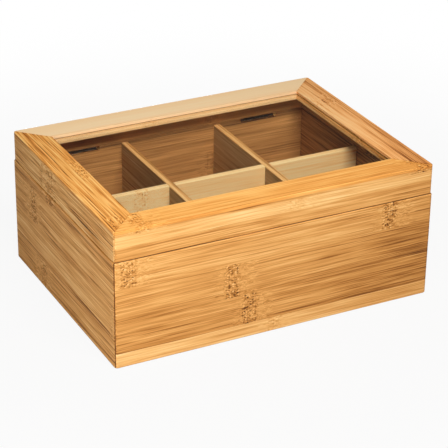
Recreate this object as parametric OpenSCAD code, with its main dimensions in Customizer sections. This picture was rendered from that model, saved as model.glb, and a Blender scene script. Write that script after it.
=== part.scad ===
// Tea bag organizer box in bamboo: a mitred base with six compartments and a
// hinged lid, whose mitred frame holds a clear window pane.
// Millimetres. +X runs to the right, +Y to the back where the hinges are, +Z up.
// The origin is the middle of the underside.

/* [Base] */
// Outside width of the base, side to side
box_w = 217; // [195:1:260]
// Outside depth of the base, front to back
box_d = 160; // [140:1:200]
// Height of the base, up to the line where the lid closes
base_h = 70; // [55:1:95]
// Thickness of the base walls
wall_t = 9; // [8.5:0.5:12]
// Radius of the upright outer corners of base and lid
corner_r = 2; // [0.5:0.1:4]

/* [Bottom panel] */
// Thickness of the bottom panel
bottom_t = 4; // [3:0.5:8]
// Width of the rebate that the walls have for the panel
rebate_w = 4.5; // [3:0.5:6]
// Gap between the panel's edge and the rebate
panel_gap = 0.2; // [0.1:0.05:0.4]

/* [Dividers] */
// Thickness of the dividers
divider_t = 4.5; // [3:0.1:6]
// How far the dividers' top edges stay below the rim
divider_drop = 0.5; // [0.3:0.1:6]
// Clearance on each side of a half-lap slot
lap_gap = 0.1; // [0.05:0.05:0.3]

/* [Lid frame] */
// Height of the lid
lid_h = 20; // [18:0.5:30]
// How far the lid's outer faces stand back from those of the base
lid_inset = 0.5; // [0.2:0.1:0.8]
// Width of the frame's top face
rail_w = 19; // [16:0.5:28]
// Thickness of the frame's flange around the window
flange_t = 8; // [7.5:0.5:10]
// Radius along the top outer edge of the lid
edge_r = 0.8; // [0.5:0.1:3]

/* [Window pane] */
// Thickness of the clear pane
pane_t = 3; // [2:0.1:3.4]
// How far the pane lies below the frame's top face
pane_drop = 2.3; // [1.5:0.1:3]
// How far the pane reaches into the rails' grooves
pane_lap = 4; // [2.5:0.5:6]
// Gap between the pane's edge or top and its groove
pane_gap = 0.2; // [0.1:0.05:0.4]

/* [Hinges] */
// Distance from a side of the base to the middle of the nearer hinge
hinge_in = 43; // [32:0.5:72]
// Length of a mortise in the back wall's rim
mortise_l = 27; // [20:0.5:32]
// Depth of a mortise below the rim
mortise_h = 2.8; // [2.6:0.1:3.6]
// Radius of a mortise's lower corners
mortise_r = 1.2; // [0.5:0.1:1.3]
// Gap between a leaf's end and the rounded corner of its mortise
leaf_gap = 0.1; // [0.05:0.05:0.3]
// How far a leaf reaches under the wall, from the base's back face
leaf_w = 7.2; // [6:0.1:8]
// Thickness of a leaf
leaf_t = 1.1; // [0.8:0.1:1.2]
// Outer radius of the knuckles
knuckle_r = 2; // [1.6:0.1:2.6]
// Number of knuckles on a hinge
knuckle_n = 5; // [3:2:7]
// Radius of the hinge pin
pin_r = 0.9; // [0.6:0.1:1.1]
// Running clearance of the pin in the knuckles
pin_gap = 0.05; // [0.02:0.01:0.1]
// Gap between neighbouring knuckles, and between the knuckles and the wall
knuckle_gap = 0.25; // [0.15:0.05:0.4]
// Radius of the pin's riveted ends
rivet_r = 1.4; // [1.2:0.1:1.6]
// Height of the pin's riveted ends
rivet_h = 0.5; // [0.3:0.1:0.8]

/* [Screws] */
// Radius of a screw's shank
screw_r = 1; // [0.8:0.05:1.2]
// Radius of a screw's head
head_r = 1.9; // [1.6:0.1:2.3]
// Length of a screw
screw_l = 9; // [7:0.5:11]
// Distance between the two screws of a leaf
screw_pitch = 13; // [9:0.5:15]
// Clearance around a screw in leaf and wood
screw_gap = 0.03; // [0.01:0.01:0.1]

/* [Hidden] */
$fn = 48;

over = 1;                                  // how far a cut runs past a face
columns = 3;                               // compartments from side to side
inner_w = box_w - 2 * wall_t;
inner_d = box_d - 2 * wall_t;
back_y = box_d / 2;                        // outer back face of the base

// Dividers
divider_h = base_h - divider_drop - bottom_t;
lap_z = bottom_t + divider_h / 2;          // where the halved slots meet
column_w = (inner_w - (columns - 1) * divider_t) / columns;
divider_x = (column_w + divider_t) / 2;    // middle of a long divider

// Lid
lid_w = box_w - 2 * lid_inset;
lid_d = box_d - 2 * lid_inset;
top_z = base_h + lid_h;
window_w = lid_w - 2 * rail_w;
window_d = lid_d - 2 * rail_w;
pane_top = top_z - pane_drop;
pane_z = pane_top - pane_t;

// Hinges
hinge_x = box_w / 2 - hinge_in;
leaf_l = mortise_l - 2 * (mortise_r + leaf_gap);
mortise_z = base_h - mortise_h;
pin_y = back_y + knuckle_gap + knuckle_r;
pin_z = base_h - mortise_h / 2;
knuckle_l = (leaf_l - (knuckle_n - 1) * knuckle_gap) / knuckle_n;
screw_y = back_y - leaf_w / 2;
head_h = head_r - screw_r;                 // a 90 degree countersink
point_h = 2 * screw_r;
driver_w = head_r / 4;                     // the slot in a screw's head
driver_h = head_h / 2;

bamboo = "#e0b070";
bamboo_dark = "#c89858";
steel = "#8d8b86";

// A block that stands on z = 0 with rounded upright corners
module rounded_block(w, d, h, r) {
  translate([-w / 2 + r, -d / 2, 0]) cube([w - 2 * r, d, h]);
  translate([-w / 2, -d / 2 + r, 0]) cube([w, d - 2 * r, h]);
  for (sx = [-1, 1], sy = [-1, 1])
    translate([sx * (w / 2 - r), sy * (d / 2 - r), 0]) cylinder(r = r, h = h);
}

// A plain block that stands on z = 0
module block(w, d, h) {
  translate([-w / 2, -d / 2, 0]) cube([w, d, h]);
}

// The same with its two long top edges along X rounded
module bar_rounded_on_top(w, d, h, r) {
  block(w, d, h - r);
  translate([0, 0, h - 2 * r]) block(w, d - 2 * r, 2 * r);
  for (sy = [-1, 1])
    translate([-w / 2, sy * (d / 2 - r), h - r]) rotate([0, 90, 0]) cylinder(r = r, h = w);
}

// What one side of a frame takes up between its two 45 degree mitres.
// side is 0 for the front, 1 for the right, 2 for the back and 3 for the left.
module mitre_zone(w, d, depth, z, h, side) {
  across = side % 2 == 0 ? w : d;
  along = side % 2 == 0 ? d : w;
  rotate([0, 0, side * 90])
    translate([0, -along / 2, z])
      linear_extrude(height = h)
        polygon([[-across / 2, 0], [across / 2, 0],
                 [across / 2 - depth, depth], [-across / 2 + depth, depth]]);
}

// The four base walls before the mitres part them
module base_ring() {
  difference() {
    rounded_block(box_w, box_d, base_h, corner_r);
    translate([0, 0, -over]) block(inner_w, inner_d, base_h + 2 * over);
    translate([0, 0, -over])
      block(inner_w + 2 * rebate_w, inner_d + 2 * rebate_w, bottom_t + over);
  }
}

module base_wall(side) {
  color(bamboo)
    intersection() {
      base_ring();
      mitre_zone(box_w, box_d, wall_t + over, -over, base_h + 2 * over, side);
    }
}

// The seat of one hinge: open to the rim and right through the wall
module mortise() {
  half = mortise_l / 2;
  depth = wall_t + 2 * over;
  translate([-half, back_y - wall_t - over, mortise_z + mortise_r])
    cube([mortise_l, depth, mortise_h + over]);
  translate([-half + mortise_r, back_y - wall_t - over, mortise_z])
    cube([mortise_l - 2 * mortise_r, depth, mortise_h]);
  for (sx = [-1, 1])
    translate([sx * (half - mortise_r), back_y + over, mortise_z + mortise_r])
      rotate([90, 0, 0]) cylinder(r = mortise_r, h = depth);
}

// Places its children at the two screws of both hinges
module at_screws() {
  for (sx = [-1, 1], sp = [-1, 1])
    translate([sx * hinge_x + sp * screw_pitch / 2, screw_y, 0]) children();
}

// A hole of the screw's own shape in the wood below z = 0, where the leaf lies on it
module pilot_hole() {
  length = screw_l - leaf_t;
  screw_hole();
  translate([0, 0, point_h - length])
    cylinder(r = screw_r + screw_gap, h = length - point_h + over);
  translate([0, 0, -length - screw_gap])
    cylinder(r1 = 0, r2 = screw_r + screw_gap, h = point_h + screw_gap);
}

module base_front_wall() base_wall(0);
module base_right_wall() base_wall(1);
module base_left_wall() base_wall(3);
module base_back_wall() {
  color(bamboo)
    difference() {
      base_wall(2);
      for (sx = [-1, 1]) translate([sx * hinge_x, 0, 0]) mortise();
      at_screws() translate([0, 0, mortise_z]) pilot_hole();
    }
}

module bottom_panel() {
  grow = 2 * (rebate_w - panel_gap);
  color(bamboo_dark) block(inner_w + grow, inner_d + grow, bottom_t);
}

// Long dividers run front to back, with a slot from below for the cross divider
module long_divider(x) {
  slot_w = divider_t + 2 * lap_gap;
  color(bamboo)
    translate([x, 0, 0])
      difference() {
        translate([0, 0, bottom_t]) block(divider_t, inner_d, divider_h);
        translate([0, 0, bottom_t - over])
          block(divider_t + 2 * over, slot_w, lap_z - bottom_t + over);
      }
}

module long_divider_left() long_divider(-divider_x);
module long_divider_right() long_divider(divider_x);

// The cross divider runs side to side, slotted from above for the long ones
module cross_divider() {
  slot_w = divider_t + 2 * lap_gap;
  color(bamboo)
    difference() {
      translate([0, 0, bottom_t]) block(inner_w, divider_t, divider_h);
      for (sx = [-1, 1])
        translate([sx * divider_x, 0, lap_z])
          block(slot_w, divider_t + 2 * over, divider_h);
    }
}

// The lid's four L-shaped rails before the mitres part them
module lid_ring() {
  groove = pane_lap + pane_gap;
  difference() {
    intersection() {
      translate([0, 0, base_h]) rounded_block(lid_w, lid_d, lid_h, corner_r);
      translate([0, 0, base_h]) bar_rounded_on_top(lid_w, lid_d, lid_h, edge_r);
      translate([0, 0, base_h])
        rotate([0, 0, 90]) bar_rounded_on_top(lid_d, lid_w, lid_h, edge_r);
    }
    translate([0, 0, base_h - over]) block(window_w, window_d, lid_h + 2 * over);
    translate([0, 0, base_h - over])
      block(inner_w, inner_d, lid_h - flange_t + over);
    translate([0, 0, pane_z])
      block(window_w + 2 * groove, window_d + 2 * groove, pane_t + pane_gap);
  }
}

module lid_rail(side) {
  color(bamboo)
    intersection() {
      lid_ring();
      mitre_zone(lid_w, lid_d, rail_w + over, base_h - over, lid_h + 2 * over, side);
    }
}

module lid_front_rail() lid_rail(0);
module lid_right_rail() lid_rail(1);
module lid_left_rail() lid_rail(3);
module lid_back_rail() {
  color(bamboo)
    difference() {
      lid_rail(2);
      at_screws() translate([0, 0, base_h]) mirror([0, 0, 1]) pilot_hole();
    }
}

module window_pane() {
  color("#d8e6ea", 0.35)
    translate([0, 0, pane_z])
      block(window_w + 2 * pane_lap, window_d + 2 * pane_lap, pane_t);
}

// Knuckles first, first + 2 and so on, along X with their middle at x = 0
module knuckles(first, r, extra) {
  step = knuckle_l + knuckle_gap;
  for (k = [first : 2 : knuckle_n - 1])
    translate([-leaf_l / 2 + k * step - extra, pin_y, pin_z])
      rotate([0, 90, 0]) cylinder(r = r, h = knuckle_l + 2 * extra);
}

// A leaf whose flat lies from z up to z + leaf_t and that has the knuckles first, first + 2 ...
module leaf(z, first) {
  reach = pin_y - back_y + leaf_w;
  color(steel)
    difference() {
      union() {
        difference() {
          translate([-leaf_l / 2, back_y - leaf_w, z]) cube([leaf_l, reach, leaf_t]);
          knuckles(1 - first, knuckle_r + knuckle_gap, knuckle_gap);
        }
        knuckles(first, knuckle_r, 0);
      }
      translate([-leaf_l / 2 - over, pin_y, pin_z])
        rotate([0, 90, 0]) cylinder(r = pin_r + pin_gap, h = leaf_l + 2 * over);
      for (sp = [-1, 1])
        translate([sp * screw_pitch / 2, screw_y, z]) children();
    }
}

// A countersunk hole through a leaf that lies on z = 0, widening upwards
module screw_hole() {
  translate([0, 0, -over]) cylinder(r = screw_r + screw_gap, h = leaf_t + 2 * over);
  translate([0, 0, leaf_t - head_h])
    cylinder(r1 = screw_r + screw_gap, r2 = head_r + screw_gap, h = head_h);
}

module base_leaf(sx) {
  translate([sx * hinge_x, 0, 0]) leaf(mortise_z, 0) screw_hole();
}

module lid_leaf(sx) {
  translate([sx * hinge_x, 0, 0])
    leaf(base_h - leaf_t, 1) translate([0, 0, leaf_t]) mirror([0, 0, 1]) screw_hole();
}

module hinge_base_leaf_left() base_leaf(-1);
module hinge_base_leaf_right() base_leaf(1);
module hinge_lid_leaf_left() lid_leaf(-1);
module hinge_lid_leaf_right() lid_leaf(1);

module hinge_pin(sx) {
  color(steel)
    translate([sx * hinge_x, pin_y, pin_z])
      rotate([0, 90, 0]) {
        translate([0, 0, -leaf_l / 2]) cylinder(r = pin_r, h = leaf_l);
        translate([0, 0, leaf_l / 2]) cylinder(r = rivet_r, h = rivet_h);
        translate([0, 0, -leaf_l / 2 - rivet_h]) cylinder(r = rivet_r, h = rivet_h);
      }
}

module hinge_pin_left() hinge_pin(-1);
module hinge_pin_right() hinge_pin(1);

// A countersunk screw whose head is flush with z = leaf_t, pointing down
module screw() {
  difference() {
    union() {
      translate([0, 0, leaf_t - head_h]) cylinder(r1 = screw_r, r2 = head_r, h = head_h);
      translate([0, 0, leaf_t - screw_l + point_h])
        cylinder(r = screw_r, h = screw_l - point_h - head_h);
      translate([0, 0, leaf_t - screw_l]) cylinder(r1 = 0, r2 = screw_r, h = point_h);
    }
    translate([0, 0, leaf_t - driver_h]) block(driver_w, 2 * head_r + over, driver_h + over);
  }
}

module base_hinge_screws() {
  color(steel) at_screws() translate([0, 0, mortise_z]) screw();
}

module lid_hinge_screws() {
  color(steel) at_screws() translate([0, 0, base_h]) mirror([0, 0, 1]) screw();
}

base_front_wall();
base_back_wall();
base_left_wall();
base_right_wall();
bottom_panel();
long_divider_left();
long_divider_right();
cross_divider();
lid_front_rail();
lid_back_rail();
lid_left_rail();
lid_right_rail();
window_pane();
hinge_base_leaf_left();
hinge_base_leaf_right();
hinge_lid_leaf_left();
hinge_lid_leaf_right();
hinge_pin_left();
hinge_pin_right();
base_hinge_screws();
lid_hinge_screws();
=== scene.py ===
# Bamboo tea bag organizer box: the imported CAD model, dressed for rendering.
# Blender 4.5. Metres, in the CAD model's frame: +X right, +Y back to the hinges, +Z up.
import math

import bmesh
import bpy
from mathutils import Matrix, Vector


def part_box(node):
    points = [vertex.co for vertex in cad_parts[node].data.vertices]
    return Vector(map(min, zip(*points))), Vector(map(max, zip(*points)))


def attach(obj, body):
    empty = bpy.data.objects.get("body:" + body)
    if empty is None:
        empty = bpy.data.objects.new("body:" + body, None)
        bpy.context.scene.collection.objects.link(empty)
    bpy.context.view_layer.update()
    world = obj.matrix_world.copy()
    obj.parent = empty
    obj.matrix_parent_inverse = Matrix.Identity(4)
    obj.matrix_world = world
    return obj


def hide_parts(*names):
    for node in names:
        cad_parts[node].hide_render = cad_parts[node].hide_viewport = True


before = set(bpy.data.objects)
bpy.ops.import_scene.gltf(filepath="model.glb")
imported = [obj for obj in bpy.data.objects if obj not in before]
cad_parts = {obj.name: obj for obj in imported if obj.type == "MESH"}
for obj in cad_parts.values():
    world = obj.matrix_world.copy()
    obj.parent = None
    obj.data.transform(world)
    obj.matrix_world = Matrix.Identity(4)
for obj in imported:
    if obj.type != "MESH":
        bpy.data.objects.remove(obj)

mm = 0.001
tiny = 0.01 * mm
xAxis = Vector((1, 0, 0))
yAxis = Vector((0, 1, 0))
zAxis = Vector((0, 0, 1))

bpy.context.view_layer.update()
print("frame loaded,", len(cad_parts), "nodes")

# Camera
view = {
    "place": (-464.1, -902.8, 548.3),   # mm
    "yaw": 27.39,                       # degrees to the right of +Y
    "pitch": 26.77,                     # degrees downwards
    "roll": 0.85,
    "lens": 142.2,
}


def makeCamera():
    yaw, pitch, roll = (math.radians(view[key]) for key in ("yaw", "pitch", "roll"))
    ahead = Vector((math.sin(yaw) * math.cos(pitch), math.cos(yaw) * math.cos(pitch),
                    -math.sin(pitch)))
    right = Vector((math.cos(yaw), -math.sin(yaw), 0))
    up = right.cross(ahead)
    turned = right * math.cos(roll) + up * math.sin(roll)
    upright = up * math.cos(roll) - right * math.sin(roll)
    data = bpy.data.cameras.new("camera")
    data.sensor_width = 36
    data.lens = view["lens"]
    data.clip_start = 0.02
    data.clip_end = 20
    camera = bpy.data.objects.new("camera", data)
    camera.matrix_world = Matrix((turned, upright, -ahead)).transposed().to_4x4()
    camera.location = Vector(view["place"]) * mm
    bpy.context.scene.collection.objects.link(camera)
    bpy.context.scene.camera = camera


makeCamera()


# Shader maths
class Reading:
    # a socket's value, so that shader maths reads as plain arithmetic
    def __init__(self, bench, socket):
        self.bench = bench
        self.socket = socket

    def other(self, name):
        return Reading(self.bench, self.socket.node.outputs[name])

    def __add__(self, value):
        return self.bench.maths("ADD", self, value)

    def __radd__(self, value):
        return self.bench.maths("ADD", value, self)

    def __sub__(self, value):
        return self.bench.maths("SUBTRACT", self, value)

    def __rsub__(self, value):
        return self.bench.maths("SUBTRACT", value, self)

    def __mul__(self, value):
        return self.bench.maths("MULTIPLY", self, value)

    def __rmul__(self, value):
        return self.bench.maths("MULTIPLY", value, self)

    def __truediv__(self, value):
        return self.bench.maths("DIVIDE", self, value)

    def __gt__(self, value):
        return self.bench.maths("GREATER_THAN", self, value)

    def __abs__(self):
        return self.bench.maths("ABSOLUTE", self)


class Bench:
    # one material or world under construction
    def __init__(self, owner):
        owner.use_nodes = True
        self.owner = owner
        self.tree = owner.node_tree
        self.tree.nodes.clear()

    def node(self, kind, settings=None, inputs=None, output=0):
        made = self.tree.nodes.new(kind)
        for key, value in (settings or {}).items():
            if key == "stops":
                self.setStops(made.color_ramp, value)
            elif key == "blending":
                made.color_ramp.interpolation = value
            else:
                setattr(made, key, value)
        for key, value in (inputs or {}).items():
            if isinstance(value, Reading):
                self.tree.links.new(value.socket, made.inputs[key])
            else:
                made.inputs[key].default_value = value
        return Reading(self, made.outputs[output])

    def setStops(self, ramp, stops):
        while len(ramp.elements) > 1:
            ramp.elements.remove(ramp.elements[-1])
        for number, (place, colour, *alpha) in enumerate(stops):
            element = ramp.elements[0] if number == 0 else ramp.elements.new(place)
            element.position = place
            element.color = (*colour, *(alpha or [1]))

    def maths(self, operation, *values):
        return self.node("ShaderNodeMath", {"operation": operation}, dict(enumerate(values)))

    def smooth(self, value, low, high):
        # 0 at low and 1 at high, with a soft start and end
        return self.node("ShaderNodeMapRange", {"interpolation_type": "SMOOTHSTEP"},
                         {"Value": value, "From Min": low, "From Max": high})

    def blend(self, share, first, second):
        return self.node("ShaderNodeMix", {"data_type": "RGBA", "blend_type": "MIX"},
                         {0: share, 6: first, 7: second}, 2)

    def shade(self, palette, tone):
        # a tone from 0 to 1 to its colour
        stops = [(place, linear(*colour)) for place, colour in zip(tones, palettes[palette])]
        return self.node("ShaderNodeValToRGB", {"stops": stops}, {"Fac": tone})

    def noise(self, place, detail=2.0, roughness=0.5):
        return self.node("ShaderNodeTexNoise", None,
                         {"Vector": place, "Scale": 1.0, "Detail": detail,
                          "Roughness": roughness, "Distortion": 0.0})

    def vector(self, x, y, z):
        return self.node("ShaderNodeCombineXYZ", None, {"X": x, "Y": y, "Z": z})

    def finish(self, shader, output="ShaderNodeOutputMaterial"):
        end = self.tree.nodes.new(output)
        self.tree.links.new(shader.socket, end.inputs["Surface"])
        return self.owner


def linear(red, green, blue):
    # a colour as a screen shows it, 0 to 255, to the renderer's own scale
    return tuple((c / 255 / 12.92) if c <= 10 else ((c / 255 + 0.055) / 1.055) ** 2.4
                 for c in (red, green, blue))


# From the palest fibre to the darkest speck of a knuckle, each colour at its place in tones
tones = (0.0, 0.25, 0.45, 0.65, 0.82, 1.0)
palettes = {
    "honey": ((254, 212, 146), (242, 186, 114), (224, 162, 90),
              (200, 137, 68), (160, 101, 43), (92, 52, 22)),
    "amber": ((255, 206, 128), (247, 182, 98), (232, 158, 76),
              (207, 133, 58), (166, 100, 38), (96, 54, 22)),
    "cream": ((254, 226, 176), (248, 208, 150), (238, 190, 128),
              (218, 162, 98), (176, 120, 62), (112, 68, 34)),
    "pale": ((255, 227, 183), (255, 219, 170), (255, 211, 158),
             (236, 180, 126), (196, 144, 93), (130, 84, 50)),
    # tan: the inner faces' wood, darker as painted shade of the box's inside
    "tan": ((240, 186, 120), (218, 160, 94), (192, 136, 77),
            (158, 109, 61), (114, 78, 46), (60, 42, 27)),
    "russet": ((255, 214, 152), (255, 197, 132), (246, 177, 108),
               (216, 145, 79), (170, 104, 50), (100, 56, 26)),
    "wheat": ((255, 224, 166), (255, 214, 150), (253, 200, 132),
              (232, 170, 102), (184, 124, 66), (112, 68, 34)),
    "dusk": ((210, 182, 138), (196, 161, 114), (178, 142, 94),
             (158, 121, 75), (124, 89, 51), (74, 46, 25)),
}

internode = 190.0        # mm between two knuckles of one strip
frontInternode = 177.0   # the same on the front wall
knuckleReach = 200.0     # mm either side of the middle, where a strip's knuckle may be placed
topLane = 200            # added to the places of the strips that show flat on top
mitreShift = 28.5        # mm, half the box's width less half its depth
glueReach = (101, 103)   # mm from the middle, where the corners' glue lines begin to show
fibres = {
    # mm along the grain, mm across it, detail, roughness, share in the tone
    "broad": (170, 5, 3.0, 0.6, 0.5),
    "middle": (130, 1.6, 2.0, 0.6, 0.52),
    "fine": (42, 0.8, 2.0, 0.65, 1.0),
    "streak": (95, 0.9, 1.0, 0.5, 0.15),
}
knuckles = {
    "half": (3.6, 6.4),      # mm from its middle, where it begins to fade and where it ends
    "swelling": (4, 19),     # the same for the paler swelling beside it
    "swellingShift": 2.5,
    "ragged": 5,             # mm by which its outline wanders
    "dash": (1.8, 0.9),      # mm along and across the grain, one broken fibre end
    "bend": 6,               # mm by which the fibres beside it swirl
    "dark": 0.36,            # tones of its dark and pale dashes, of all of it and its swelling
    "pale": 0.4,
    "band": 0.12,
    "swellingPale": 0.03,
    "calm": 0.4,             # how much plainer the swelling is
}
sway = {
    # slow wandering of the fibres
    "size": (90, 40),        # mm along and across the grain
    "lane": 1.6,             # mm by which it moves the glue lines between strips
    "fibre": 1.8,            # mm by which it moves the fibres
}
blushLook = (30, 14, 0.16)   # mm along and across the grain, share in the tone
mitreLook = {
    # mm from the mitre where it begins to fade and where it ends, tone
    "line": (0.08, 0.35, 0.2),
    "sanded": (0.6, 2.4, 0.05),
}
insideLook = {
    # inner faces are painted darker than the outside, as painted shade of the box's inside, and
    # their grain is plainer
    "contrast": 0.7,
    # painted shade: inner faces that look along x are darker than those along y
    "darker": {"x": 0.2, "y": 0.04},   # by the axis that the face looks along
    # painted shade in the angle at the top of an inner face, under the lid's frame
    "angle": (7, 0.22),      # mm below its top where it begins to darken, and by how much
}


def bamboo(name, grain, palette, strips, start=0.0, end=100.0, layer=None, depth=0.42,
           contrast=1.0, seed=0.0, inside=None, skirt=None, apart=internode, crevice=None,
           mortiseShade=None, crisp=1.0, glue=0.0, seamShade=None, mitred=True, falloffShade=None):
    # grain is the axis that the fibres follow. strips lists, for each lamination across the
    # board, (where it begins in mm, how much darker it is, where its knuckle lies in mm
    # along the grain, how strong that knuckle is from 0 to 1), and start and end are the span
    # of those places. layer is the height above which the top lamination is seen flat, and
    # skirt the palette below it. Lengths are in mm, and a darkness is added to the tone:
    # inside   axis the inner face looks along, how far out it lies, height of its top, palette
    # crevice  axis, how far out the pane's seam lies and its height
    # mortiseShade  painted shade on the floor of a pair of mortises: how far from the middle they
    # lie, half their length, their floor
    # seamShade  height of the board's lower edge and how dark the painted shade along it is
    # falloffShade  painted shade where the light falls off: where along the grain it begins and
    # ends, and how dark it grows
    bench = Bench(bpy.data.materials.new(name))
    place = bench.node("ShaderNodeTexCoord", None, None, "Object")
    x = bench.node("ShaderNodeSeparateXYZ", None, {0: place}, "X")
    y = x.other("Y")
    z = x.other("Z") * 1000
    x = x * 1000
    y = y * 1000
    along, across = (x, y) if grain == "x" else (y, x)

    lane = z
    if layer is not None:
        # the flat top lamination counts its strips from the outer edge inwards
        topmost = z > layer
        lane = z + topmost * (topLane + abs(across) - z)
    long, wide = sway["size"]
    wander = bench.noise(bench.vector(along / long + seed, across / wide, z / wide), 1.0)
    lane = lane + (wander - 0.5) * sway["lane"]
    strip = bench.node("ShaderNodeValToRGB", {
        "blending": "CONSTANT",
        "stops": [((first - start) / (end - start),
                   (0.5 + darker, 0.5 + knuckle / knuckleReach / 2, 0.137 * (number + 1) % 1),
                   strength)
                  for number, (first, darker, knuckle, strength) in enumerate(strips)],
    }, {"Fac": (lane - start) / (end - start)})
    strength = strip.other("Alpha")
    strip = bench.node("ShaderNodeSeparateColor", None, {0: strip}, "Red")
    darker = strip - 0.5
    knuckle = (strip.other("Green") - 0.5) * (2 * knuckleReach)
    shift = strip.other("Blue") * 37 + seed

    # knuckle: a band of broken fibre ends in a paler swelling
    rough = bench.noise(bench.vector(across / 3.5, z / 3.5, shift), 3.0, 0.6) - 0.5
    off = bench.maths("WRAP", along - knuckle + rough * knuckles["ragged"], apart / 2, -apart / 2)
    core = (1 - bench.smooth(abs(off), *knuckles["half"])) * strength
    swell = 1 - bench.smooth(abs(off - knuckles["swellingShift"]), *knuckles["swelling"])
    halo = swell * strength
    swirl = bench.noise(bench.vector(along / 6 + shift, across / 5, z / 5), 2.0) - 0.5
    bent = halo * swirl * knuckles["bend"]
    flow = (wander - 0.5) * sway["fibre"] + bent
    crossA = across + flow
    crossB = z + flow

    def fibre(which, begin):
        length, width, detail, roughness, _ = fibres[which]
        return bench.noise(bench.vector(along / length + begin, crossA / width, crossB / width),
                           detail, roughness)

    broad = fibre("broad", shift)
    middle = fibre("middle", shift)
    fine = fibre("fine", shift)
    streak = fibre("streak", shift + 9)
    long, wide, blushShare = blushLook
    blush = bench.noise(bench.vector(along / long + shift, across / wide, z / wide), 2.0)
    darkStreak = bench.smooth(streak, 0.56, 0.74)
    paleStreak = 1 - bench.smooth(streak, 0.26, 0.44)

    # the fibre ends are short dashes, some dark and some pale
    long, wide = knuckles["dash"]
    ends = bench.node("ShaderNodeTexVoronoi", {"feature": "F1"}, {
        "Vector": bench.vector(along / long + shift, (across + bent) / wide, (z + bent) / wide),
        "Scale": 1.0, "Randomness": 1.0})
    kind = bench.node("ShaderNodeSeparateColor", None, {0: ends.other("Color")}, "Red")
    dash = 1 - bench.smooth(ends, 0.25, 0.7)
    darkDash = dash * bench.smooth(kind, 0.5, 0.7)
    paleDash = dash * (1 - bench.smooth(kind, 0.25, 0.45))

    even = 1.0 - halo * knuckles["calm"]
    share = {which: values[-1] * contrast for which, values in fibres.items()}
    tone = (depth + darker
            + (broad - 0.5) * share["broad"] * even
            + (middle - 0.5) * share["middle"] * even
            + (fine - 0.5) * (share["fine"] * crisp)
            + (blush - 0.5) * blushShare
            + (darkStreak - paleStreak) * share["streak"] * even
            + core * (darkDash * knuckles["dark"] - paleDash * knuckles["pale"]
                      + knuckles["band"])
            - halo * knuckles["swellingPale"])
    if falloffShade is not None:
        # painted shade: darker towards one end of the board, where the light falls off
        first, last, dark = falloffShade
        tone = tone + bench.smooth(along, first, last) * dark
    if mitred:
        # the mitre, and the sanded fibre ends beside it
        mitre = abs(x) - abs(y) - mitreShift
        for near, far, dark in mitreLook.values():
            tone = tone + (1 - bench.smooth(abs(mitre), near, far)) * dark
        if glue:
            # the glue line that shows on the corner, just short of the mitre
            bead = 1 - bench.smooth(abs(mitre - 0.5), 0.25, 0.65)
            tone = tone + bead * bench.smooth(abs(x), *glueReach) * glue
    if crevice is not None:
        # the shadowed seam where the pane meets the frame
        axis, limit, level = crevice
        seam = 1 - bench.smooth(abs(z - level), 0.2, 0.45)
        seam = seam * (1 - bench.smooth(abs(x if axis == "x" else y), limit, limit + 0.4))
        tone = tone + seam * 0.75
        topmost = z > level + 0.2
    if seamShade is not None:
        # painted shade along the outer arris where a board meets the one below, in the seam between
        # lid and base
        level, dark = seamShade
        tone = tone + (1 - bench.smooth(z, level + 0.45, level + 0.7)) * dark
    if mortiseShade is not None:
        # painted shade on the floor of a pair of mortises
        middle, half, floor = mortiseShade
        slotShade = 1 - bench.smooth(abs(abs(x) - middle), half, half + 0.2)
        slotShade = slotShade * (1 - bench.smooth(abs(z - floor), 0.1, 0.3))
        tone = tone + slotShade * 0.5

    colour = bench.shade(palette, tone)
    if skirt is not None:
        colour = bench.blend(topmost, bench.shade(skirt, tone), colour)
    if inside is not None:
        # painted shade: the inner face is darker, darkest in the angle at its top
        axis, limit, top, insidePalette = inside
        below, dark = insideLook["angle"]
        tone = ((tone - depth) * insideLook["contrast"] + depth
                + bench.smooth(z, top - below, top) * dark + insideLook["darker"][axis])
        inner = 1 - bench.smooth(abs(x if axis == "x" else y), limit, limit + 0.4)
        inner = inner * (1 - bench.smooth(z, top - 0.2, top + 0.2))
        colour = bench.blend(inner, colour, bench.shade(insidePalette, tone))
    gloss = 0.5 + (fine - 0.5) * 0.3 + core * darkDash * 0.2
    height = (fine - 0.5) * 0.5 + (middle - 0.5) * 0.3 - core * darkDash * 0.6
    bump = bench.node("ShaderNodeBump", None,
                      {"Height": height, "Strength": 0.4, "Distance": 0.12 * mm})
    shader = bench.node("ShaderNodeBsdfPrincipled", None, {
        "Base Color": colour, "Roughness": gloss, "Normal": bump,
        "Coat Weight": 0.04, "Coat Roughness": 0.3, "Specular IOR Level": 0.22,
    })
    return bench.finish(shader)


# Board making
def block(low, high):
    bm = bmesh.new()
    bmesh.ops.create_cube(bm, size=1)
    bmesh.ops.scale(bm, vec=high - low, verts=bm.verts)
    bmesh.ops.translate(bm, vec=(low + high) / 2, verts=bm.verts)
    return bm


def lies(part, direction, place):
    return all(abs(v.co.dot(direction) - place) < tiny for v in part.verts)


def ease(bm, radius, steps, chosen):
    bmesh.ops.bevel(bm, geom=[e for e in bm.edges if chosen(e)], offset=radius,
                    offset_type="OFFSET", segments=steps, profile=0.5, affect="EDGES",
                    material=-1, clamp_overlap=True)


def cutOff(bm, place, outwards):
    # takes away what is beyond a plane and closes the cut
    cut = bmesh.ops.bisect_plane(bm, geom=bm.verts[:] + bm.edges[:] + bm.faces[:], dist=tiny / 10,
                                 plane_co=place, plane_no=outwards, clear_outer=True)
    edges = [part for part in cut["geom_cut"] if isinstance(part, bmesh.types.BMEdge)]
    bmesh.ops.holes_fill(bm, edges=edges, sides=0)


def score(bm, faces, place, normal):
    # a line across some faces
    edges = {e for f in faces for e in f.edges}
    verts = {v for f in faces for v in f.verts}
    bmesh.ops.bisect_plane(bm, geom=list(faces) + list(edges) + list(verts), dist=tiny / 10,
                           plane_co=place, plane_no=normal)


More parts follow.
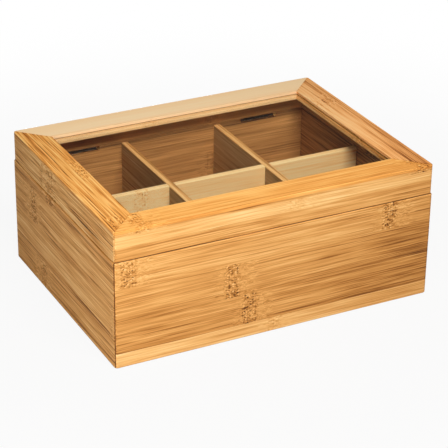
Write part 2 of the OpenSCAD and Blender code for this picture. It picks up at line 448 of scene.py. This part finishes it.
def grow(bm, direction, place, low, high, distance):
    # pushes the part of a face that is between two heights out along its normal
    faces = [f for f in bm.faces if lies(f, direction, place)
             and low < f.calc_center_median().z < high]
    made = bmesh.ops.extrude_face_region(bm, geom=faces)["geom"]
    bmesh.ops.translate(bm, vec=direction * distance,
                        verts=[part for part in made if isinstance(part, bmesh.types.BMVert)])
    left = [f for f in faces if f.is_valid]
    if left:
        bmesh.ops.delete(bm, geom=left, context="FACES")


def notch(bm, direction, low, high, floor, up=1, radius=0.0):
    # a slot right across a board, open at the top, or at the bottom where up is -1
    for place, normal in ((low, direction), (high, direction), (floor, zAxis)):
        score(bm, bm.faces[:], normal * place, normal)
    gone = []
    for face in bm.faces:
        middle = face.calc_center_median()
        if low < middle.dot(direction) < high and (middle.z - floor) * up > 0:
            gone.append(face)
    bmesh.ops.delete(bm, geom=gone, context="FACES")
    corners = []
    for place in (low, high):
        ends = [v for v in bm.verts if v.is_boundary and abs(v.co.z - floor) < tiny
                and abs(v.co.dot(direction) - place) < tiny]
        corners += bmesh.ops.contextual_create(bm, geom=ends)["edges"]
    for place, normal in ((low, direction), (high, direction), (floor, zAxis)):
        rim = [e for e in bm.edges if len(e.link_faces) < 2 and lies(e, normal, place)]
        bmesh.ops.contextual_create(bm, geom=rim)
    if radius:
        bmesh.ops.bevel(bm, geom=corners, offset=radius, offset_type="OFFSET", segments=4,
                        profile=0.5, affect="EDGES", material=-1)


def finishPiece(name, bm, body, material, nodes):
    bmesh.ops.dissolve_limit(bm, angle_limit=math.radians(0.3), verts=bm.verts, edges=bm.edges)
    bmesh.ops.recalc_face_normals(bm, faces=bm.faces)
    mesh = bpy.data.meshes.new(name)
    bm.to_mesh(mesh)
    bm.free()
    mesh.shade_smooth()
    mesh.set_sharp_from_angle(angle=math.radians(40))
    mesh.materials.append(material)
    piece = bpy.data.objects.new(name, mesh)
    bpy.context.scene.collection.objects.link(piece)
    even = piece.modifiers.new("flat faces", "WEIGHTED_NORMAL")
    even.keep_sharp = True
    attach(piece, body)
    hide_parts(*nodes)


def sideOf(name):
    # the way out of the box and the way along the board
    return {"front": (-yAxis, xAxis), "right": (xAxis, yAxis),
            "back": (yAxis, xAxis), "left": (-xAxis, yAxis)}[name]


def mitreEnds(bm, out, way, reach, half):
    for end in (way, -way):
        cutOff(bm, out * reach + end * half, (end - out).normalized())


# Base
sides = ("front", "back", "left", "right")
baseLow = Vector((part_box("base_left_wall")[0].x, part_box("base_front_wall")[0].y,
                  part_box("base_front_wall")[0].z))
baseHigh = Vector((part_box("base_right_wall")[1].x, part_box("base_back_wall")[1].y,
                   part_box("base_front_wall")[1].z))
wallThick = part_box("base_left_wall")[1].x - baseLow.x
panelLow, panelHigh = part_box("bottom_panel")

base = {
    "corner": 2.0,           # mm, radius of the upright corners
    "rimEase": 0.3,
    "footEase": 0.6,
    "innerEase": 0.35,
    "panelGap": 0.2,
    "mortiseLong": 27.0,
    "mortiseDeep": 2.8,
    "mortiseCorner": 1.2,
    "glue": 0.55,            # how dark the glue line of a corner is, from 0 to 1
    "palette": "honey",
    "crisp": {"x": 1.1, "y": 1.6},   # how crisp the fibres are, by the axis they follow
}

stripScale = (-10, 90)   # mm, span of the heights in the strips of walls and panel

# lamination strips from the bottom up: start in mm, darker by, knuckle along the grain in mm,
# strength of the knuckle
wallStrips = {
    "front": [(-10, -0.13, -2.5, 0.4), (9.2, 0.2, -19.5, 1.0), (12, 0.12, -19.5, 1.0),
              (29.5, 0.2, -31.5, 1.0), (33, 0.08, -31.5, 1.0), (52.2, 0.0, 77.5, 1.0)],
    "left": [(-10, 0.05, 32, 0.9), (18.5, 0.2, 100, 1.0), (21, -0.03, 100, 1.0),
             (40, 0.17, 46, 0.8), (42.5, -0.02, 46, 1.0), (64.5, 0.18, 20, 1.0),
             (67.5, 0.02, 19, 0.7)],
    "right": [(-10, 0.0, -52, 0.8), (17, 0.05, -38, 1.0), (39, -0.03, -64, 0.9),
              (60.5, 0.02, 84, 0.6)],
    "back": [(-10, 0.03, 60, 0.9), (13, -0.03, -70, 0.7), (31, 0.02, 30, 0.5),
             (50, -0.02, -85, 1.0)],
}
# painted shade where the light falls off: where along the grain in mm it begins and ends, and how
# dark it grows
wallFalloffShade = {"front": (20, 110, 0.17)}


def makeWall(side, seed):
    out, way = sideOf(side)
    reach = baseHigh.y if out.y else baseHigh.x
    half = baseHigh.x if out.y else baseHigh.y
    inner = reach - wallThick
    rebate = (panelHigh.y if out.y else panelHigh.x) + base["panelGap"] * mm
    top = baseHigh.z
    bm = block(baseLow, baseHigh)
    ease(bm, base["corner"] * mm, 6, lambda e: abs((e.verts[0].co - e.verts[1].co).z) > tiny)
    ease(bm, base["rimEase"] * mm, 3, lambda e: lies(e, zAxis, top))
    ease(bm, base["footEase"] * mm, 3, lambda e: lies(e, zAxis, baseLow.z))
    cutOff(bm, out * rebate, -out)
    score(bm, [f for f in bm.faces if lies(f, out, rebate)], zAxis * panelHigh.z, zAxis)
    grow(bm, -out, -rebate, panelHigh.z, top, rebate - inner)
    ease(bm, base["innerEase"] * mm, 2, lambda e: lies(e, zAxis, top) and lies(e, out, inner))
    mortiseShade = None
    if side == "back":
        for hinge in ("hinge_base_leaf_left", "hinge_base_leaf_right"):
            middle = sum((corner.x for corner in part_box(hinge))) / 2
            wide = base["mortiseLong"] / 2 * mm
            floor = top - base["mortiseDeep"] * mm
            notch(bm, xAxis, middle - wide, middle + wide, floor, 1, base["mortiseCorner"] * mm)
            mortiseShade = (abs(middle) * 1000, wide * 1000, floor * 1000)
    mitreEnds(bm, out, way, reach, half)
    grain, facing = ("x", "y") if out.y else ("y", "x")
    material = bamboo("bamboo " + side + " wall", grain, base["palette"], wallStrips[side],
                      *stripScale, seed=seed,
                      inside=(facing, inner * 1000, top * 1000, "tan"),
                      apart=frontInternode if side == "front" else internode,
                      mortiseShade=mortiseShade, glue=0.0 if out.y else base["glue"],
                      crisp=base["crisp"][grain], falloffShade=wallFalloffShade.get(side))
    finishPiece(side + "_wall", bm, "base", material, ["base_" + side + "_wall"])


for number, side in enumerate(sides):
    makeWall(side, 3.1 + 7.3 * number)
print("base walls made")

panel = {"ease": 0.4, "palette": "cream", "strips": [(-10, 0.02, 88, 0.5)]}


def makePanel():
    bm = block(panelLow, panelHigh)
    ease(bm, panel["ease"] * mm, 2, lambda e: True)
    material = bamboo("bamboo bottom panel", "x", panel["palette"], panel["strips"], *stripScale,
                      seed=41.0, mitred=False)
    finishPiece("bottom_board", bm, "base", material, ["bottom_panel"])


makePanel()

# Dividers
dividers = {
    "ease": 0.5,             # mm
    "lapGap": 0.1,
    "leftSeam": 233.6,       # topLane plus the place of the glue line along a divider's top
    "rightSeam": 233.4,
    "topDepth": 0.6,         # how far down a long divider still has its top's colour
    "scale": (-10, 290),     # span of the places in a divider's strips
}


def makeDivider(node, name, grain, up, others, palette, strips, seed, faces=None):
    low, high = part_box(node)
    way = xAxis if grain == "x" else yAxis
    bm = block(low, high)
    ease(bm, dividers["ease"] * mm, 2,
         lambda e: lies(e, zAxis, high.z) and abs((e.verts[0].co - e.verts[1].co).dot(way)) > 1 * mm
         and not abs((e.verts[0].co - e.verts[1].co).dot(xAxis + yAxis - way)) > tiny)
    middle = (low.z + high.z) / 2
    for other in others:
        first, last = (corner.dot(way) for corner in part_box(other))
        gap = dividers["lapGap"] * mm
        notch(bm, way, first - gap, last + gap, middle, up)
    layer = None if faces is None else high.z * 1000 - dividers["topDepth"]
    material = bamboo("bamboo " + name.replace("_", " "), grain, palette, strips,
                      *dividers["scale"], layer, seed=seed, skirt=faces, mitred=False)
    finishPiece(name, bm, "base", material, [node])


makeDivider("cross_divider", "cross_partition", "x", 1,
            ["long_divider_left", "long_divider_right"], "wheat",
            [(-10, -0.06, 20, 0.5), (30, -0.1, -53, 0.8), (52, -0.2, -55, 1.0)], 55.0)
makeDivider("long_divider_left", "long_partition_left", "y", -1, ["cross_divider"], "honey",
            [(-10, 0.06, 20, 0.6), (24, 0.06, -40, 0.6), (46, 0.04, 85, 0.6),
             (150, 0.1, 85, 0.3), (dividers["leftSeam"], -0.2, 85, 0.3)], 61.0, "dusk")
makeDivider("long_divider_right", "long_partition_right", "y", -1, ["cross_divider"], "honey",
            [(-10, 0.06, -20, 0.6), (24, 0.06, 40, 0.6), (46, 0.04, 85, 0.6),
             (150, -0.2, 85, 0.3), (dividers["rightSeam"], 0.1, 85, 0.3)], 67.0, "dusk")
print("dividers made")

# Lid
lidLow = Vector((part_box("lid_left_rail")[0].x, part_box("lid_front_rail")[0].y,
                 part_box("lid_front_rail")[0].z))
lidHigh = Vector((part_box("lid_right_rail")[1].x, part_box("lid_back_rail")[1].y,
                  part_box("lid_front_rail")[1].z))
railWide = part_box("lid_left_rail")[1].x - lidLow.x
paneLow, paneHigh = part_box("window_pane")

lid = {
    "corner": 2.0,           # mm
    "topEase": 0.45,
    "seamEase": 0.45,        # along the joint with the base
    "seamGap": 0.2,          # how far the visible lid stays clear of the walls
    # painted shade along the lid's lower edge, in the seam over the base
    "seamDark": {"front": 0.5},      # how dark the lid's lower edge has become
    "seamPlain": 0.2,        # the same on the sides that seamDark doesn't name
    "windowEase": 0.35,
    "flangeThick": 8.0,
    "paneGap": 0.2,
    "topLayer": 89.2,        # height above which the frame shows its top face
    "scale": (60, 320),      # span of the places in a rail's strips
}

# skirt strips by height, then the flat top lamination by topLane plus its distance from the
# middle
railStrips = {
    "front": [(60, 0.03, 11, 0.0), (78.5, -0.2, 12, 0.4), (86.4, -0.04, -90, 0.7),
              (260, -0.16, -90, 1.0), (266.5, -0.07, -91, 1.0), (274, -0.04, -88, 0.8)],
    "back": [(60, 0.0, 30, 0.5), (80, -0.04, -20, 0.5), (260, -0.06, -20, 0.0),
             (262.5, -0.24, 20, 0.0), (271, -0.17, -30, 0.0)],
    "left": [(60, -0.02, 19, 0.7), (76, -0.02, 19, 0.8), (79, -0.06, 19, 0.8),
             (280, -0.02, 2, 1.0), (288.5, -0.04, 5, 1.0),
             (295, -0.06, -74, 0.8), (300, 0.08, -76, 0.7), (304, -0.06, 100, 0.0)],
    "right": [(60, 0.02, -20, 0.6), (280, -0.16, 34, 0.5), (295.5, 0.04, 36, 0.8),
              (301, 0.1, 38, 0.5), (304, 0.1, 100, 0.0)],
}
# painted shade where the light falls off, as for the walls
railFalloffShade = {"front": (20, 110, 0.12), "right": (10, -70, 0.2)}
railLooks = {
    # palette of the top and of the skirt, contrast of the fibres, how crisp they are
    "front": ("amber", "honey", 0.9, 1.3),
    "back": ("pale", "cream", 0.45, 1.0),
    "left": ("amber", "honey", 1.15, 2.3),
    "right": ("russet", "honey", 0.95, 1.5),
}


def makeRail(side, seed):
    out, way = sideOf(side)
    reach = lidHigh.y if out.y else lidHigh.x
    half = lidHigh.x if out.y else lidHigh.y
    skirt = (baseHigh.y if out.y else baseHigh.x) - wallThick
    window = reach - railWide
    groove = (paneHigh.y if out.y else paneHigh.x) + lid["paneGap"] * mm
    flange = lidHigh.z - lid["flangeThick"] * mm
    paneTop = paneHigh.z + lid["paneGap"] * mm
    bottom = lidLow.z + lid["seamGap"] * mm
    bm = block(Vector((lidLow.x, lidLow.y, bottom)), lidHigh)
    ease(bm, lid["corner"] * mm, 6, lambda e: abs((e.verts[0].co - e.verts[1].co).z) > tiny)
    ease(bm, lid["topEase"] * mm, 5, lambda e: lies(e, zAxis, lidHigh.z))
    ease(bm, lid["seamEase"] * mm, 3, lambda e: lies(e, zAxis, bottom))
    cutOff(bm, out * skirt, -out)
    for level in (flange, paneLow.z, paneTop):
        score(bm, [f for f in bm.faces if lies(f, out, skirt)], zAxis * level, zAxis)
    grow(bm, -out, -skirt, flange, lidHigh.z, skirt - groove)
    grow(bm, -out, -groove, flange, paneLow.z, groove - window)
    grow(bm, -out, -groove, paneTop, lidHigh.z, groove - window)
    ease(bm, lid["windowEase"] * mm, 2,
         lambda e: lies(e, out, window) and (lies(e, zAxis, lidHigh.z) or lies(e, zAxis, flange)))
    ease(bm, lid["windowEase"] * mm, 2, lambda e: lies(e, out, skirt) and lies(e, zAxis, bottom))
    mitreEnds(bm, out, way, reach, half)
    palette, skirtPalette, contrast, crisp = railLooks[side]
    grain, facing = ("x", "y") if out.y else ("y", "x")
    material = bamboo("bamboo lid " + side, grain, palette, railStrips[side], *lid["scale"],
                      lid["topLayer"], contrast=contrast, crisp=crisp, seed=seed,
                      skirt=skirtPalette,
                      inside=(facing, skirt * 1000, flange * 1000, "tan"),
                      crevice=(facing, window * 1000, paneTop * 1000),
                      seamShade=(bottom * 1000, lid["seamDark"].get(side, lid["seamPlain"])),
                      falloffShade=railFalloffShade.get(side))
    finishPiece("lid_" + side, bm, "lid", material, ["lid_" + side + "_rail"])


for number, side in enumerate(sides):
    makeRail(side, 23.7 + 5.9 * number)
print("lid rails made")

# Pane
pane = {"tint": (0.99, 0.995, 0.99), "ior": 1.49}


def clearPane():
    bench = Bench(bpy.data.materials.new("clear pane"))
    tint = (*pane["tint"], 1)
    smudge = bench.noise(bench.node("ShaderNodeTexCoord", None, None, "Object"), 2.0)
    glass = bench.node("ShaderNodeBsdfPrincipled", None, {
        "Base Color": tint, "Roughness": bench.smooth(smudge, 0.4, 0.9) * 0.03,
        "IOR": pane["ior"], "Transmission Weight": 1.0})
    # only the outer face mirrors: a ray that is already in the pane just leaves it
    leaving = bench.node("ShaderNodeBsdfRefraction", None,
                         {"Color": tint, "Roughness": 0.0, "IOR": pane["ior"]})
    within = bench.node("ShaderNodeNewGeometry", None, None, "Backfacing")
    clear = bench.node("ShaderNodeMixShader", None, {0: within, 1: glass, 2: leaving})
    # light that falls on the box shines through it unbent
    through = bench.node("ShaderNodeBsdfTransparent", None, {"Color": tint})
    lamp = bench.node("ShaderNodeLightPath", None, None, "Is Shadow Ray")
    inward = bench.node("ShaderNodeMixShader", None,
                        {0: lamp.other("Is Diffuse Ray"), 1: clear, 2: through})
    return bench.finish(bench.node("ShaderNodeMixShader", None, {0: lamp, 1: inward, 2: through}))


# Hinges and screws
metals = {
    # colour as a screen shows it, roughness
    # the leaves' steel is darker than the pins': painted shade for leaves that sit deep in their
    # mortises
    "hinge steel": ((126, 121, 112), 0.38),
    "pin steel": ((196, 192, 186), 0.28),
    "screw steel": ((188, 180, 162), 0.32),
}


def steel(name):
    tone, roughness = metals[name]
    bench = Bench(bpy.data.materials.new(name))
    place = bench.node("ShaderNodeTexCoord", None, None, "Object")
    brushed = bench.noise(bench.node("ShaderNodeMapping", {"vector_type": "POINT"},
                                     {"Vector": place, "Scale": (300, 6000, 6000)}), 3.0, 0.6)
    clouds = bench.noise(bench.node("ShaderNodeMapping", {"vector_type": "POINT"},
                                    {"Vector": place, "Scale": (260, 260, 260)}), 3.0, 0.6)
    colour = bench.blend(bench.smooth(clouds, 0.35, 0.75), (*linear(*tone), 1),
                         (*linear(*(c * 0.74 for c in tone)), 1))
    bump = bench.node("ShaderNodeBump", None,
                      {"Height": brushed, "Strength": 0.2, "Distance": 0.03 * mm})
    shader = bench.node("ShaderNodeBsdfPrincipled", None, {
        "Base Color": colour, "Metallic": 1.0,
        "Roughness": roughness + (brushed - 0.5) * 0.25 + (clouds - 0.5) * 0.15, "Normal": bump})
    return bench.finish(shader)


def dressNodes():
    looks = {"window_pane": clearPane()}
    leafSteel, pinSteel, screwSteel = (steel(name) for name in metals)
    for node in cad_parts:
        if node.startswith("hinge_pin"):
            looks[node] = pinSteel
        elif node.startswith("hinge"):
            looks[node] = leafSteel
        elif node.endswith("screws"):
            looks[node] = screwSteel
    for node, material in looks.items():
        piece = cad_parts[node]
        if not piece.material_slots:
            piece.data.materials.append(material)
        for slot in piece.material_slots:
            slot.material = material


dressNodes()
print("pane and hinges dressed")

# Floor, world and lamps
studio = {
    "floor": (0.40, 0.39, 0.38),
    "floorGap": 0.2,         # mm under the box, so that the two never share a plane
    "white": (1.0, 1.0, 1.0),
    "ambient": 0.12,
    "mirrored": 0.05,        # what gloss shows of the room
    "shadow": 0.08,          # how much of the object's shadow shows on the floor
    "shadowFade": (0.16, 0.5),       # m from the middle
    "lampColour": (1.0, 0.985, 0.96),
}
lamps = {
    # place in m, point aimed at in m, size in m, watts
    "overhead": ((-0.06, -0.46, 0.66), (0, 0, 0.08), (0.36, 0.20), 6.0),
    "front": ((-0.33, -0.36, 0.12), (-0.03, 0, 0.06), (0.20, 0.12), 0.1),
    "left": ((-0.42, -0.28, 0.14), (-0.1, 0, 0.05), (0.2, 0.12), 0.76),
    # these two stay below the lid, so that they light only their own sides
    "back": ((0.10, 0.62, 0.045), (0.0, 0.08, 0.045), (0.34, 0.07), 2.2),
    "right": ((0.62, 0.03, 0.045), (0.11, 0.0, 0.045), (0.26, 0.07), 1.6),
}


def seenByEye(bench):
    # 1 for what the camera or a clear pane shows
    path = bench.node("ShaderNodeLightPath", None, None, "Is Camera Ray")
    return bench.maths("MAXIMUM", path, path.other("Is Transmission Ray"))


def makeFloor():
    bm = bmesh.new()
    bmesh.ops.create_grid(bm, x_segments=1, y_segments=1, size=4)
    bmesh.ops.translate(bm, vec=-zAxis * studio["floorGap"] * mm, verts=bm.verts)
    mesh = bpy.data.meshes.new("floor")
    bm.to_mesh(mesh)
    bm.free()
    floor = bpy.data.objects.new("floor", mesh)
    bpy.context.scene.collection.objects.link(floor)
    bench = Bench(bpy.data.materials.new("studio floor"))
    place = bench.node("ShaderNodeTexCoord", None, None, "Object")
    far = bench.smooth(bench.node("ShaderNodeVectorMath", {"operation": "LENGTH"}, {0: place},
                                  "Value"), *studio["shadowFade"])
    plain = bench.node("ShaderNodeBsdfDiffuse", None, {"Color": (*studio["floor"], 1)})
    white = bench.node("ShaderNodeEmission", None, {"Color": (*studio["white"], 1)})
    share = seenByEye(bench) * (1 - studio["shadow"] * (1 - far))
    mesh.materials.append(bench.finish(
        bench.node("ShaderNodeMixShader", None, {0: share, 1: plain, 2: white})))


def makeWorld():
    world = bpy.data.worlds.new("studio")
    bpy.context.scene.world = world
    bench = Bench(world)
    gloss = bench.node("ShaderNodeLightPath", None, None, "Is Glossy Ray")
    dim, dark, white = (bench.node("ShaderNodeBackground", None,
                                   {"Color": (*studio["white"], 1), "Strength": strength})
                        for strength in (studio["ambient"], studio["mirrored"], 1.0))
    room = bench.node("ShaderNodeMixShader", None, {0: gloss, 1: dim, 2: dark})
    bench.finish(bench.node("ShaderNodeMixShader", None, {0: seenByEye(bench), 1: room, 2: white}),
                 "ShaderNodeOutputWorld")


def makeLamps():
    for name, (place, target, size, watts) in lamps.items():
        data = bpy.data.lights.new(name, "AREA")
        data.shape = "RECTANGLE"
        data.size, data.size_y = size
        data.energy = watts
        data.color = studio["lampColour"]
        lamp = bpy.data.objects.new(name, data)
        lamp.location = place
        lamp.rotation_euler = (Vector(target) - Vector(place)).to_track_quat("-Z", "Y").to_euler()
        lamp.visible_camera = False
        bpy.context.scene.collection.objects.link(lamp)


makeFloor()
makeWorld()
makeLamps()
bpy.context.scene.view_settings.view_transform = "Standard"
print("studio set")
